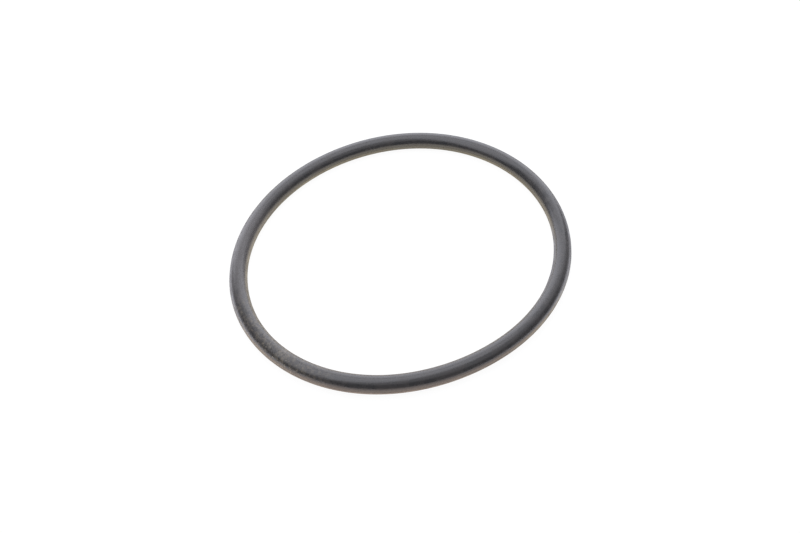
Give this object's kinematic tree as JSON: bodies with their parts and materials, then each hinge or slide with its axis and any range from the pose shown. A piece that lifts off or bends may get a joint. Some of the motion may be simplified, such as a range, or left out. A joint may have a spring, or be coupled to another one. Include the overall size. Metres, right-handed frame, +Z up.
{
  "type": "o-ring",
  "caption": "Round-section black rubber sealing ring, lying loose and slightly oval, with a fine mould parting line round its outside and inside.",
  "frame": {"origin": "centre of the ring's box in plan, on the plane that the ring lies on", "axes": "+X along the ring's long way as it lies, +Z up, square to the ring's plane"},
  "size_m": [0.0826, 0.0734, 0.004],
  "materials": {
    "rubber": "matte black nitrile rubber with a soft satin sheen, lightly dusty"
  },
  "bodies": {
    "root": {"o_ring": "rubber"}
  },
  "joints": []
}
